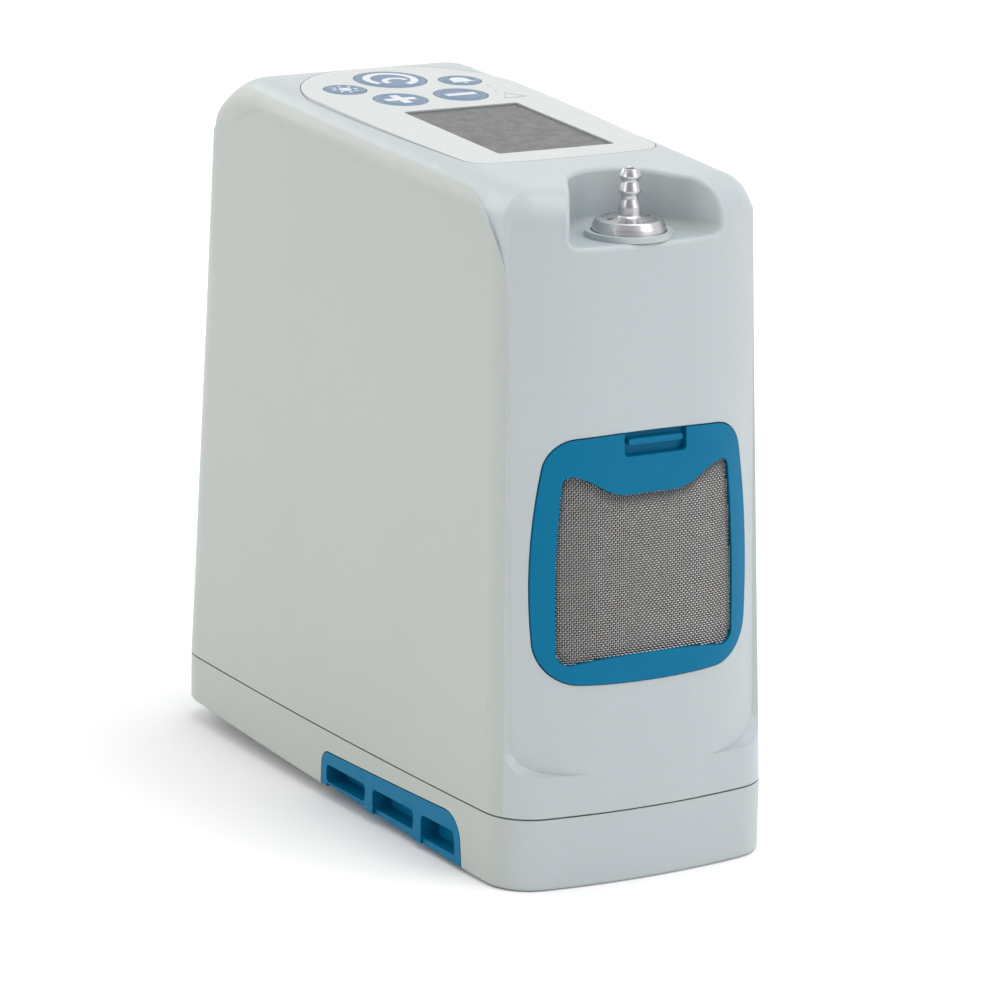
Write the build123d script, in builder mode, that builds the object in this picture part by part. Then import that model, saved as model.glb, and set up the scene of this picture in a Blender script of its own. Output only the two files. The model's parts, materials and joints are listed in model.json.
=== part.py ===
from build123d import *
from math import cos, radians, sin, sqrt, tan
import os

# Portable oxygen concentrator, standing on its battery.
# Millimetres. X is the width, Y runs from the intake end (-Y) to the exhaust end (+Y), Z is up.
# The origin is the centre of the footprint.

# ---- driving dimensions -------------------------------------------------------------------
half_length = 95.0          # to the crown of the end walls, at the battery seam
half_width = 42.1           # to the crown of the side walls, at the battery seam
end_bow = 191.0             # plan radius of the end walls
side_bow = 2220.0           # plan radius of the side walls
end_turn = 47.0             # plan radius that carries the upper end walls round to the sides
corner_radius = 13.0        # corners of the battery and of the side slabs, in plan
end_draft = 0.047           # lean of the end walls, per millimetre of height
side_draft = 0.022          # lean of the side walls, per millimetre of height
seam_level = 19.5           # battery to housing joint
seam_gap = 0.45
top_level = 183.2           # top face at the middle of the length
top_slope = 0.053           # rise of the top face towards +Y
top_roll = 9.0              # rounding between the top face and the walls
back_roll = 36.0            # sweep of the top face down to the back wall
back_roll_start = 56.0
wall = 2.4
band_level = 30.0           # top of the plain band that runs round above the seam
slab_front = 85.9           # distance of the side slabs' front edge from the middle, at the seam
slab_below_top = 3.0        # the slabs' upper edge, under the top face
wrap_roll = 10.0            # rounding of the end and top wrap
slab_inset = 0.8            # how far the end and top wrap stands inside the side slabs
bottom_rise = 0.033         # rise of the battery's underside towards +Y

panel_thickness = 0.9
panel_gap = 0.25
display_size = (34.6, 50.0)
display_centre = (1.4, -14.8)
key_gap = 0.2

nozzle_y = -77.7
pocket_floor = 165.4
pocket_y = -76.5            # centre of the round back of the pocket
pocket_radius = 15.0
pocket_flare = 29.5         # degrees that each side of the pocket opens towards the front
pocket_rim = 1.2            # rounding of the pocket's rim
pocket_foot = 2.4            # rounding between the pocket's walls and its floor
flange_radius = 9.4
socket_ring_radius = 11.2

frame_bottom, frame_top = 53.0, 117.5
frame_half_width = 32.3
frame_depth = 3.0
pad_depth = 11.0            # thickness of the housing round the intake
frame_proud = 0.35
frame_gap = 0.3

latch_front, latch_back = -69.3, 4.0
latch_top = 14.2
latch_face, latch_back_wall = -40.9, -36.2

column_radius, column_x, column_y = 15.5, 18.0, -39.0
column_bottom, column_top = 36.0, 142.0
crank_y, crank_z = 24.0, 68.0
fan_centre_z, fan_y = 130.0, 68.0

os.makedirs("parts", exist_ok=True)


def save(builder, name):
    """Label one finished piece and write it under its node name."""
    builder.part.label = name
    export_step(builder.part, f"parts/{name}.step")


def top_at(y):
    """Height of the top face at a place along the length."""
    return top_level + top_slope * y


def end_at(z):
    """Distance of an end wall's crown from the middle at one height."""
    return half_length - end_draft * (z - seam_level)


def side_at(z):
    """Distance of a side wall's crown from the middle at one height."""
    return half_width - side_draft * (z - seam_level)


def casing_section(level, inset=0.0, end_inset=None):
    """Barrel-sided rectangle: the plan of the battery and the side slabs at one height."""
    leaning_level = max(level, seam_level)
    reach_x = side_at(leaning_level) - inset
    reach_y = end_at(leaning_level) - (inset if end_inset is None else end_inset)
    corner_x, corner_y = reach_x, reach_y
    for _ in range(12):
        corner_x = reach_x - side_bow + sqrt(side_bow**2 - corner_y**2)
        corner_y = reach_y - end_bow + sqrt(end_bow**2 - corner_x**2)
    with BuildSketch(Plane.XY.offset(level)) as section:
        with BuildLine():
            ThreePointArc((-corner_x, -corner_y), (0, -reach_y), (corner_x, -corner_y))
            ThreePointArc((corner_x, -corner_y), (reach_x, 0), (corner_x, corner_y))
            ThreePointArc((corner_x, corner_y), (0, reach_y), (-corner_x, corner_y))
            ThreePointArc((-corner_x, corner_y), (-reach_x, 0), (-corner_x, -corner_y))
        make_face()
        fillet(section.vertices(), corner_radius - max(inset, 0))
    return section.sketch


def wrap_section(level):
    """Plan of the end and top wrap: bowed ends that turn earlier than the slabs' corners."""
    reach_y = end_at(level) + 0.15
    turn_x = 13.0
    turn_y = reach_y - turn_x**2 / (2 * end_bow)
    sweep = 50.0
    with BuildSketch(Plane.XY.offset(level)) as section:
        with BuildLine():
            crown = ThreePointArc((-turn_x, -turn_y), (0, -reach_y), (turn_x, -turn_y))
            turn = JernArc(crown @ 1, crown % 1, end_turn, sweep)
            back_crown = ThreePointArc((turn_x, turn_y), (0, reach_y), (-turn_x, turn_y))
            back_turn = JernArc(back_crown @ 1, back_crown % 1, end_turn, sweep)
            left_back = JernArc(back_crown @ 0, -(back_crown % 0), end_turn, -sweep)
            left_front = JernArc(crown @ 0, -(crown % 0), end_turn, -sweep)
            Line(turn @ 1, left_back @ 1)
            Line(back_turn @ 1, left_front @ 1)
        make_face()
        add(casing_section(level, slab_inset, -2.0), mode=Mode.INTERSECT)
    return section.sketch


def under_top(drop=0.0):
    """Side view of everything below the top face and its sweep down the back."""
    with BuildSketch(Plane.YZ) as profile:
        with BuildLine():
            start = (-120, top_at(-120) - drop)
            finish = (back_roll_start, top_at(back_roll_start) - drop)
            ridge = Line(start, finish)
            sweep = JernArc(ridge @ 1, ridge % 1, back_roll - drop, -80)
            tail = Line(sweep @ 1, sweep @ 1 + (sweep % 1) * 190)
            Polyline(tail @ 1, (-120, (tail @ 1).Y), ridge @ 0)
        make_face()
    return profile.sketch


def top_rim(part):
    """Edges where the top face meets the walls."""
    high = part.edges().filter_by(lambda e: e.center().Z > 150)
    lying = high.filter_by(lambda e: abs((e % 0.5).Z) < 0.9 and e.length > 3)
    return lying.filter_by(lambda e: not (abs(e.center().X) < 1 and abs(e.center().Y) < 80))


def slab_zone():
    """Side view of the slabs and the plain band under them, with the slabs' corners rounded."""
    front_low = slab_front
    front_high = slab_front - end_draft * (176.0 - band_level)
    back_high = 77.0
    with BuildSketch(Plane.YZ) as zone:
        with BuildLine():
            Polyline(
                (-120, 0), (-120, band_level), (-front_low, band_level),
                (-front_high, top_at(-front_high) - slab_below_top),
                (back_high, top_at(back_high) - slab_below_top - 4), (front_low, band_level),
                (120, band_level), (120, 0), (-120, 0),
            )
        make_face()
        inner = zone.vertices().filter_by(lambda v: abs(v.X) < 100)
        by_height = inner.sort_by(Axis.Y)
        fillet(by_height[:2], 8.0)
        inner = zone.vertices().filter_by(lambda v: v.Y > 150)
        fillet(inner.sort_by(Axis.X)[0], 25.0)
        fillet(zone.vertices().filter_by(lambda v: v.Y > 150).sort_by(Axis.X)[-1], 34.0)
    return zone.sketch


# ---- main housing ---------------------------------------------------------------------------
with BuildPart() as side_slabs:
    loft([casing_section(seam_level), casing_section(205)], ruled=True)
    extrude(under_top(), amount=60, both=True, mode=Mode.INTERSECT)
    fillet(top_rim(side_slabs), top_roll)
    extrude(slab_zone(), amount=60, both=True, mode=Mode.INTERSECT)


with BuildPart() as wrap_core:
    loft([wrap_section(seam_level), wrap_section(205)], ruled=True)


def wrap_block(push):
    """The wrap's solid with its intake end pushed in towards the middle."""
    return wrap_core.part.moved(Location((0, push, 0)))


def pocket_outline(grow=0.0, level=pocket_floor):
    """Plan of the nozzle pocket: round behind the nozzle, flaring out through the front wall."""
    radius = pocket_radius + grow
    along, across = radius * sin(radians(pocket_flare)), radius * cos(radians(pocket_flare))
    reach = 110 + pocket_y + along
    mouth = across + reach * tan(radians(pocket_flare))
    with BuildSketch(Plane.XY.offset(level)) as outline:
        with BuildLine():
            back = ThreePointArc((-across, pocket_y + along), (0, pocket_y + radius), (across, pocket_y + along))
            Polyline(back @ 1, (mouth, -110), (-mouth, -110), back @ 0)
        make_face()
    return outline.sketch


def frame_outline(grow=0.0):
    """Front view of the intake frame: a rounded shape a little narrower at the top."""
    low, high = frame_bottom - grow, frame_top + grow
    low_x, middle_x, high_x = 30.6 + grow, frame_half_width + grow, 27.8 + grow
    with BuildSketch(Plane.XZ) as outline:
        with BuildLine():
            ThreePointArc((-low_x, low + 1.4), (0, low), (low_x, low + 1.4))
            ThreePointArc((low_x, low + 1.4), (middle_x, 76), (high_x, high - 1.2))
            ThreePointArc((high_x, high - 1.2), (0, high), (-high_x, high - 1.2))
            ThreePointArc((-high_x, high - 1.2), (-middle_x, 76), (-low_x, low + 1.4))
        make_face()
        fillet(outline.vertices().sort_by(Axis.Y)[:2], 12.0 + grow)
        fillet(outline.vertices().sort_by(Axis.Y)[-2:], 9.0 + grow)
    return outline.sketch


def mesh_outline():
    """Front view of the woven mesh window, with a horn at each top corner."""
    with BuildSketch(Plane.XZ) as outline:
        with BuildLine():
            low = Spline((-22, 58.6), (-14, 59.6), (0, 60.0), (14, 59.6), (22, 58.6))
            right = Spline((26.4, 63.5), (26.5, 80), (24.9, 104.5))
            right_foot = TangentArc(low @ 1, right @ 0, tangent=low % 1)
            left = Spline((-24.9, 104.5), (-26.5, 80), (-26.4, 63.5))
            left_foot = TangentArc(low @ 0, left @ 1, tangent=-(low % 0))
            top = Spline((-21.5, 107.3), (-17, 105.6), (-11, 102.4), (0, 101.8), (11, 102.4), (17, 105.6), (21.5, 107.3))
            Spline(right @ 1, (23.9, 107.0), top @ 1)
            Spline(top @ 0, (-23.9, 107.0), left @ 0)
        make_face()
    return outline.sketch


def opening_outline(grow=0.0):
    """Front view of the plain opening in the housing behind the mesh."""
    low, high = 58.0 - grow, 108.0 + grow
    with BuildSketch(Plane.XZ) as outline:
        with BuildLine():
            Polyline((-27.4 - grow, low), (27.4 + grow, low), (26.0 + grow, high), (-26.0 - grow, high), close=True)
        make_face()
        fillet(outline.vertices(), 4.0)
    return outline.sketch


top_plane = Plane(origin=(0, 0, top_level), x_dir=(1, 0, 0), z_dir=(0, -top_slope, 1))
keys = {
    "key_power": (0.0, 45.8, 9.9),
    "key_plus": (-9.3, 23.5, 7.3),
    "key_minus": (9.3, 23.5, 7.3),
    "key_alert": (17.8, 38.8, 5.8),
    "key_light": (-17.8, 38.8, 5.8),
}


def panel_outline(depth, grow=0.0):
    """Label panel in the top face: bowed sides, round back end, small front corners."""
    front_x, side_x, back_x = 28.2 + grow, 30.9 + grow, 31.4 + grow
    front_y = -47.9 - grow
    with BuildSketch(top_plane.offset(-depth)) as outline:
        with BuildLine():
            front = ThreePointArc((-front_x, front_y), (0, front_y - 1.5), (front_x, front_y))
            right = ThreePointArc(front @ 1, (side_x, -8), (back_x, 28))
            back = ThreePointArc(right @ 1, (0, 62.0 + grow), (-back_x, 28))
            ThreePointArc(back @ 1, (-side_x, -8), front @ 0)
        make_face()
        fillet(outline.vertices().sort_by(Axis.Y)[:2], 6.0 + grow)
    return outline.sketch


def display_rectangle(depth, shrink=0.0):
    """Rectangle of the display window, one distance under the top face."""
    with BuildSketch(top_plane.offset(-depth)) as outline:
        with Locations(display_centre):
            RectangleRounded(display_size[0] - 2 * shrink, display_size[1] - 2 * shrink, 1.0)
    return outline.sketch


def key_circles(depth, grow):
    """Circles of the five keys, one distance under the top face."""
    with BuildSketch(top_plane.offset(-depth)) as outline:
        for x, y, radius in keys.values():
            with Locations((x, y)):
                Circle(radius + grow)
    return outline.sketch


def pocket_rim_edges(builder):
    """Edges where the pocket's walls come out through the top face and its rounding."""
    near = builder.edges().filter_by(lambda e: e.center().Y < -58 and e.center().Z > pocket_floor + 1.5)
    walls = builder.faces().filter_by(lambda f: f.center().Y < -60 and f.center().Z > pocket_floor + 1
                                      and abs(f.normal_at().Z) < 0.01 and abs(f.center().X) < 28
                                      and f.center().Y > -86)
    wall_edges = [e for f in walls for e in f.edges()]
    return [e for e in near if any(e.is_same(w) for w in wall_edges) and abs((e % 0.5).Z) < 0.98]


boss_places = [(x, y) for x in (-34.5, 34.5) for y in (-74, 74)]
vent_levels = [108 + 5 * row for row in range(10)]
jack_x, jack_z = 20.0, 40.0

with BuildPart() as cavity:
    loft([casing_section(seam_level - 5, 3.4, 2.7), casing_section(205, 3.4, 2.7)], ruled=True)
    extrude(under_top(3.7), amount=60, both=True, mode=Mode.INTERSECT)
    fillet(top_rim(cavity), 6.0)
    with BuildSketch(Plane.YZ) as intake_pad:
        with BuildLine():
            inner_low, inner_high = pad_depth - end_at(46), pad_depth - end_at(124)
            Polyline((-120, 46), (inner_low, 46), (inner_high, 124), (-120, 124), close=True)
        make_face()
    extrude(amount=36, both=True, mode=Mode.SUBTRACT)
    extrude(pocket_outline(wall, pocket_floor - wall), amount=60, mode=Mode.SUBTRACT)
    with BuildSketch(Plane.XY.offset(23.1)):
        with Locations(boss_places):
            Circle(4.2)
    extrude(amount=40, mode=Mode.SUBTRACT)

with BuildPart() as pocket_block:
    extrude(pocket_outline(), amount=60)
    floor_edges = pocket_block.faces().sort_by(Axis.Z)[0].edges()
    fillet(floor_edges.filter_by(lambda e: e.center().Y > -108), pocket_foot)

with BuildPart() as frame_recess:
    extrude(frame_outline(frame_gap), amount=120)
    add(wrap_block(frame_depth + 0.1), mode=Mode.SUBTRACT)

with BuildPart() as main_housing:
    add(wrap_block(0.0))
    extrude(under_top(), amount=60, both=True, mode=Mode.INTERSECT)
    fillet(top_rim(main_housing), wrap_roll)
    add(side_slabs.part)
    add(pocket_block.part, mode=Mode.SUBTRACT)
    fillet(pocket_rim_edges(main_housing), pocket_rim)
    add(cavity.part, mode=Mode.SUBTRACT)
    with BuildSketch(Plane.XY.offset(pocket_floor)):
        with Locations((0, nozzle_y)):
            Circle(socket_ring_radius)
            Circle(flange_radius + 0.3, mode=Mode.SUBTRACT)
    extrude(amount=1.5)
    with Locations((0, nozzle_y, pocket_floor)):
        Hole(5.2, 10)
    extrude(panel_outline(panel_thickness, panel_gap), amount=5, mode=Mode.SUBTRACT)
    extrude(display_rectangle(1.7, -0.15), amount=5, mode=Mode.SUBTRACT)
    extrude(display_rectangle(6.0, 2.0), amount=8, mode=Mode.SUBTRACT)
    extrude(key_circles(6.0, key_gap), amount=8, mode=Mode.SUBTRACT)
    with BuildSketch(Plane.XZ.offset(-100)):
        for level in vent_levels:
            with Locations((0, level)):
                SlotOverall(42, 2.4)
        with Locations((jack_x, jack_z)):
            Circle(5.3)
    extrude(amount=30, mode=Mode.SUBTRACT)
    with BuildSketch(Plane.XY.offset(seam_level)):
        with Locations(boss_places):
            Circle(1.3)
    extrude(amount=24, mode=Mode.SUBTRACT)
    add(frame_recess.part, mode=Mode.SUBTRACT)
    extrude(opening_outline(), amount=120, mode=Mode.SUBTRACT)
save(main_housing, "main_housing")

# ---- intake: removable frame with its woven mesh, foam pad and duct ----------------------------
tab_x, tab_width, tab_low, tab_high = 1.4, 18.6, 111.4, 116.3
with BuildPart() as intake_frame:
    extrude(frame_outline(), amount=120)
    add(wrap_block(-frame_proud), mode=Mode.INTERSECT)
    add(wrap_block(frame_depth), mode=Mode.SUBTRACT)
    extrude(mesh_outline(), amount=120, mode=Mode.SUBTRACT)
    with BuildSketch(Plane.XZ.offset(end_at(114) - 1.9)):
        with Locations((tab_x, tab_low + 5)):
            RectangleRounded(tab_width, 10, 1.2)
    extrude(amount=8, mode=Mode.SUBTRACT)
    with BuildSketch(Plane.XZ.offset(end_at(114) - 2.2)):
        with Locations((tab_x, tab_high - 1.2)):
            RectangleRounded(tab_width - 2.6, 1.5, 0.6)
    extrude(amount=2.5)
save(intake_frame, "intake_frame")

with BuildPart() as intake_mesh:
    extrude(mesh_outline(), amount=120)
    add(wrap_block(1.2), mode=Mode.INTERSECT)
    add(wrap_block(1.6), mode=Mode.SUBTRACT)
save(intake_mesh, "intake_mesh")

with BuildPart() as intake_foam:
    extrude(opening_outline(-0.2), amount=120)
    add(wrap_block(3.6), mode=Mode.INTERSECT)
    add(wrap_block(8.6), mode=Mode.SUBTRACT)
save(intake_foam, "intake_foam")

with BuildPart() as intake_duct:
    with BuildSketch(Plane.XY.offset(56)):
        with Locations((0, -67.5)):
            RectangleRounded(54, 19, 3)
            RectangleRounded(50, 15, 2, mode=Mode.SUBTRACT)
    extrude(amount=50)
    with BuildSketch(Plane.XY.offset(54)):
        with Locations((0, -67.5)):
            RectangleRounded(54, 19, 3)
    extrude(amount=2)
    with Locations(Plane((0, -76, 82), z_dir=(0, 1, 0))):
        Hole(9, 6)
save(intake_duct, "intake_duct")

# ---- top face: label panel, display and keys ---------------------------------------------------
with BuildPart() as label_panel:
    extrude(panel_outline(panel_thickness), amount=panel_thickness)
    extrude(under_top(), amount=60, both=True, mode=Mode.INTERSECT)
    extrude(display_rectangle(2, -0.15), amount=5, mode=Mode.SUBTRACT)
    extrude(key_circles(2, key_gap), amount=5, mode=Mode.SUBTRACT)
save(label_panel, "label_panel")

with BuildPart() as display_window:
    extrude(display_rectangle(1.65), amount=1.25)
save(display_window, "display_window")

with BuildPart() as display_module:
    extrude(display_rectangle(4.6, -1.5), amount=0.8)
    extrude(display_rectangle(6.6, -1.5), amount=2.1)
save(display_module, "display_module")

for key_name, (key_x, key_y, key_radius) in keys.items():
    with BuildPart() as key:
        with BuildSketch(top_plane.offset(-2.4)):
            with Locations((key_x, key_y)):
                Circle(key_radius)
        extrude(amount=2.5)
        fillet(key.edges().sort_by(Axis.Z)[-1], 0.25)
        with BuildSketch(top_plane.offset(-5.4)):
            with Locations((key_x, key_y)):
                Circle(1.8)
        extrude(amount=3.1)
    save(key, key_name)

with BuildPart() as control_board:
    with BuildSketch(top_plane.offset(-9.6)):
        with Locations((0, 4)):
            RectangleRounded(56, 102, 3)
    extrude(amount=1.6)
save(control_board, "control_board")

with BuildPart() as key_switches:
    with BuildSketch(top_plane.offset(-8)):
        for x, y, radius in keys.values():
            with Locations((x, y)):
                Rectangle(6, 6)
    extrude(amount=1.2)
    with BuildSketch(top_plane.offset(-6.8)):
        for x, y, radius in keys.values():
            with Locations((x, y)):
                Circle(1.7)
    extrude(amount=0.75)
save(key_switches, "key_switches")

# ---- oxygen outlet -------------------------------------------------------------------------------
with BuildPart() as outlet_nozzle:
    with BuildSketch(Plane.XZ.offset(-nozzle_y)):
        with BuildLine():
            Polyline(
                (1.3, 146), (4.9, 146), (4.9, 165.45), (flange_radius, 165.45),
                (flange_radius, 168.2), (8.5, 169.8), (3.6, 170.2), (2.9, 170.8), (2.9, 173.0),
                (2.25, 174.6), (2.2, 175.9), (2.85, 176.9), (2.3, 178.9), (2.15, 179.7), (2.8, 180.7),
                (2.0, 182.7), (1.3, 182.7), close=True,
            )
        make_face()
    revolve(axis=Axis((0, nozzle_y, 0), (0, 0, 1)))
    with BuildSketch(Plane.XY.offset(168.9)):
        with Locations((-5.6, nozzle_y), (5.6, nozzle_y)):
            Circle(0.75)
    extrude(amount=3, mode=Mode.SUBTRACT)
save(outlet_nozzle, "outlet_nozzle")

with BuildPart() as outlet_nut:
    with BuildSketch(Plane.XY.offset(pocket_floor - wall - 3.6)):
        with Locations((0, nozzle_y)):
            RegularPolygon(8.0, 6)
            Circle(4.95, mode=Mode.SUBTRACT)
    extrude(amount=3.5)
save(outlet_nut, "outlet_nut")

with BuildPart() as outlet_elbow:
    with BuildSketch(Plane.XY.offset(136)):
        with Locations((0, nozzle_y)):
            Circle(7)
    extrude(amount=21)
    with Locations((0, nozzle_y, 157)):
        Hole(4.95, 11.1)
        Hole(2.0, 18)
    with BuildSketch(Plane.XZ.offset(-nozzle_y - 6)) as spout:
        with Locations((0, 140)):
            Circle(3.2)
    extrude(amount=-12)
save(outlet_elbow, "outlet_elbow")

# ---- battery, which slides on under the housing --------------------------------------------------
def under_surface(lift):
    """Side view of everything above the battery's rising underside, lifted by a wall."""
    with BuildSketch(Plane.YZ) as profile:
        with BuildLine():
            front, back = -100.0, 100.0
            Polyline(
                (front, lift + bottom_rise * (front + half_length)),
                (back, lift + bottom_rise * (back + half_length)),
                (back, 60), (front, 60), close=True,
            )
        make_face()
    return profile.sketch


def latch_outline(gap, place):
    """Side view of the latch, open at the bottom, with a wide round at its front corner."""
    with BuildSketch(Plane.YZ.offset(place)) as outline:
        with BuildLine():
            Polyline(
                (latch_front - gap - 0.7, -5), (latch_front - gap + 1.6, latch_top + 0.6 + gap),
                (latch_back + gap - 0.6, latch_top - 1.0 + gap), (latch_back + gap + 0.4, -5), close=True,
            )
        make_face()
        fillet(outline.vertices().filter_by(lambda v: v.Y > 6 and v.X < -50), 7.4 + gap)
        fillet(outline.vertices().filter_by(lambda v: v.Y > 6 and v.X > -20), 3.6 + gap)
    return outline.sketch


battery_top = seam_level - seam_gap
lid_bottom = battery_top - 3.4
hook_x, hook_ys, hook_length = 22.0, (-52.0, 52.0), 10.0
window_spans = [(-66.2, -49.2), (-45.2, -24.0), (-20.0, 1.0)]
sill, window_high = 2.6, 10.0        # lower and upper edge of the finger windows


with BuildPart() as battery_block:
    extrude(casing_section(0), amount=battery_top)
    extrude(under_surface(0.0), amount=60, both=True, mode=Mode.INTERSECT)
    fillet(battery_block.faces().sort_by(Axis.Z)[0].edges(), 1.0)

with BuildPart() as battery_hollow:
    extrude(casing_section(0, 2.4), amount=battery_top)
    extrude(under_surface(2.0), amount=60, both=True, mode=Mode.INTERSECT)
    with Locations((-36, -33, 7)):
        Box(12, 84, 17.2, mode=Mode.SUBTRACT)

with BuildPart() as battery_case:
    add(battery_block.part)
    add(battery_hollow.part, mode=Mode.SUBTRACT)
    extrude(latch_outline(0.35, -31.4), amount=-30, mode=Mode.SUBTRACT)
    with BuildSketch(Plane.XZ.offset(-100)) as gauge_hole:
        with Locations((0, 12)):
            SlotOverall(24, 5)
    extrude(amount=12, mode=Mode.SUBTRACT)
save(battery_case, "battery_case")

with BuildPart() as finger_windows:
    with BuildSketch(Plane.YZ.offset(latch_back_wall)):
        for span_front, span_back in window_spans:
            window_low = sill + bottom_rise * (span_front + half_length)
            with Locations(((span_front + span_back) / 2, (window_low + window_high) / 2)):
                RectangleRounded(span_back - span_front, window_high - window_low, 1.4)
    extrude(amount=-30)
    extrude(latch_outline(-2.6, latch_back_wall), amount=-30, mode=Mode.INTERSECT)

with BuildPart() as battery_latch:
    extrude(latch_outline(0.0, -34.9), amount=-30)
    add(battery_block.part, mode=Mode.INTERSECT)
    extrude(under_surface(0.5), amount=60, both=True, mode=Mode.INTERSECT)
    add(finger_windows.part, mode=Mode.SUBTRACT)
    with BuildSketch(Plane.YZ.offset(latch_face)):
        for span_front, span_back in window_spans:
            with Locations(((span_front + span_back) / 2, 0)):
                Rectangle(span_back - span_front, 2 * sill + 4)
    extrude(amount=-30, mode=Mode.SUBTRACT)
save(battery_latch, "battery_latch")

with BuildPart() as latch_springs:
    with BuildSketch(Plane.YZ.offset(-32.8)):
        with Locations((-56, 8.6), (-10, 8.6)):
            Circle(2.4)
            Circle(1.4, mode=Mode.SUBTRACT)
    extrude(amount=1.35)
save(latch_springs, "latch_springs")

with BuildPart() as battery_lid:
    extrude(casing_section(lid_bottom, 2.5), amount=battery_top - lid_bottom)
    for side in (-1, 1):
        for hook_y in hook_ys:
            with Locations((side * hook_x, hook_y - 7.0, 17.25)):
                Box(7.6, 24.8, 1.8, mode=Mode.SUBTRACT)
            with Locations((side * hook_x, hook_y - 1.6, 18.6)):
                Box(3.6, 14.0, 1.0, mode=Mode.SUBTRACT)
            with Locations((side * hook_x, hook_y - 14.0, 18.6)):
                Box(7.6, 10.8, 1.0, mode=Mode.SUBTRACT)
    with Locations(*[(x, 0, battery_top) for x in (-10, -5, 0, 5, 10)]):
        Box(3.2, 9, 0.8, mode=Mode.SUBTRACT)
save(battery_lid, "battery_lid")

with BuildPart() as battery_pads:
    with Locations(*[(x, 0, battery_top - 0.22) for x in (-10, -5, 0, 5, 10)]):
        Box(3.1, 8.9, 0.36)
save(battery_pads, "battery_pads")

with BuildPart() as battery_cells:
    for column, x in enumerate((-17.5, 17.5)):
        for y in (-66, -22, 22, 66):
            floor = 2.3 + bottom_rise * (y + 20.5 + half_length)
            with BuildSketch(Plane.XY.offset(floor)):
                with Locations((x if x > 0 else -12.2, y)):
                    RectangleRounded(33 if x > 0 else 25, 41, 2)
            extrude(amount=14.0 - floor)
save(battery_cells, "battery_cells")

with BuildPart() as battery_board:
    with Locations((0, 0, 14.85)):
        Box(26, 150, 1.2)
save(battery_board, "battery_board")

with BuildPart() as charge_gauge:
    with BuildSketch(Plane.XZ.offset(-half_length + 2.6)):
        with Locations((0, 12)):
            SlotOverall(23.8, 4.8)
    extrude(amount=-2.35)
save(charge_gauge, "charge_gauge")

feet_places = [(x, y) for x in (-17, 17) for y in (-70, 70)]
with BuildPart() as base_feet:
    with BuildSketch(Plane.XY):
        with Locations(feet_places):
            RectangleRounded(14, 20, 4)
    extrude(amount=12)
    with BuildSketch(Plane.YZ) as under_case:
        with BuildLine():
            rise_end = bottom_rise * (half_length + 100)
            Polyline((-95, 0), (100, rise_end), (100, -5), (-95, -5), close=True)
        make_face()
    extrude(amount=60, both=True, mode=Mode.INTERSECT)
save(base_feet, "base_feet")

# ---- chassis, carried by the housing ---------------------------------------------------------------
plate_bottom, plate_top = 19.8, 23.0
with BuildPart() as base_plate:
    extrude(casing_section(plate_bottom, 4.3, 3.7), amount=plate_top - plate_bottom)
    for side in (-1, 1):
        for hook_y in hook_ys:
            with Locations((side * hook_x, hook_y, 18.9)):
                Box(3.0, hook_length, 2.1)
            with Locations((side * hook_x, hook_y, 17.25)):
                Box(7.0, hook_length, 1.2)
    with Locations(*[(x, y, plate_bottom) for x, y in boss_places]):
        Cylinder(3.0, 1.6 * 2, mode=Mode.SUBTRACT)
        Cylinder(1.5, 20, mode=Mode.SUBTRACT)
    with Locations((0, 0, 21)):
        Box(28, 11, 6, mode=Mode.SUBTRACT)
save(base_plate, "base_plate")

with BuildPart() as contact_block:
    with Locations((0, 0, 23.2)):
        Box(27.6, 10.6, 6.4)
    with Locations(*[(x, 0, 19.6) for x in (-10, -5, 0, 5, 10)]):
        Box(1.6, 5, 0.9)
save(contact_block, "contact_block")

with BuildPart() as housing_screws:
    for x, y in boss_places:
        with Locations((x, y, plate_bottom + 0.8)):
            Cylinder(2.8, 1.4)
        with Locations((x, y, plate_bottom + 8.5)):
            Cylinder(1.25, 14)
        with Locations((x, y, plate_bottom + 0.3)):
            Cylinder(1.1, 0.8, mode=Mode.SUBTRACT)
save(housing_screws, "housing_screws")

with BuildPart() as bulkhead:
    with Locations((0, -20.3, 90)):
        Box(66, 1.6, 133.8)
    with Locations((0, -20.3, 60)):
        Box(24, 4, 30, mode=Mode.SUBTRACT)
save(bulkhead, "bulkhead")

# ---- sieve beds with their springs, caps, manifold, valves and product tank -------------------------
columns = [(-column_x, column_y), (column_x, column_y)]
with BuildPart() as sieve_tubes:
    with BuildSketch(Plane.XY.offset(column_bottom)):
        with Locations(columns):
            Circle(column_radius)
            Circle(column_radius - 1.0, mode=Mode.SUBTRACT)
    extrude(amount=column_top - column_bottom)
save(sieve_tubes, "sieve_tubes")

with BuildPart() as sieve_media:
    with BuildSketch(Plane.XY.offset(column_bottom + 6)):
        with Locations(columns):
            Circle(column_radius - 1.05)
    extrude(amount=column_top - column_bottom - 20)
save(sieve_media, "sieve_media")

with BuildPart() as sieve_springs:
    for x, y in columns:
        for turn in range(3):
            with Locations((x, y, column_top - 12.2 + 2.7 * turn)):
                Torus(9.5, 0.9)
save(sieve_springs, "sieve_springs")

with BuildPart() as sieve_caps:
    with BuildSketch(Plane.XY.offset(plate_top)):
        with Locations(columns):
            Circle(column_radius + 1.2)
    extrude(amount=column_bottom - plate_top)
    with BuildSketch(Plane.XY.offset(column_bottom)):
        with Locations(columns):
            Circle(column_radius - 1.1)
    extrude(amount=5)
save(sieve_caps, "sieve_caps")

with BuildPart() as valve_manifold:
    with BuildSketch(Plane.XY.offset(column_top)):
        with Locations((0, column_y)):
            RectangleRounded(70, 35, 5)
    extrude(amount=10)
    fillet(valve_manifold.edges().group_by(Axis.Z)[-1], 1.5)
    for x in (-27, -9, 9, 27):
        with Locations((x, column_y - 17.5, column_top + 5)):
            Cylinder(2.2, 8, rotation=(90, 0, 0), mode=Mode.SUBTRACT)
save(valve_manifold, "valve_manifold")

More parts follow.
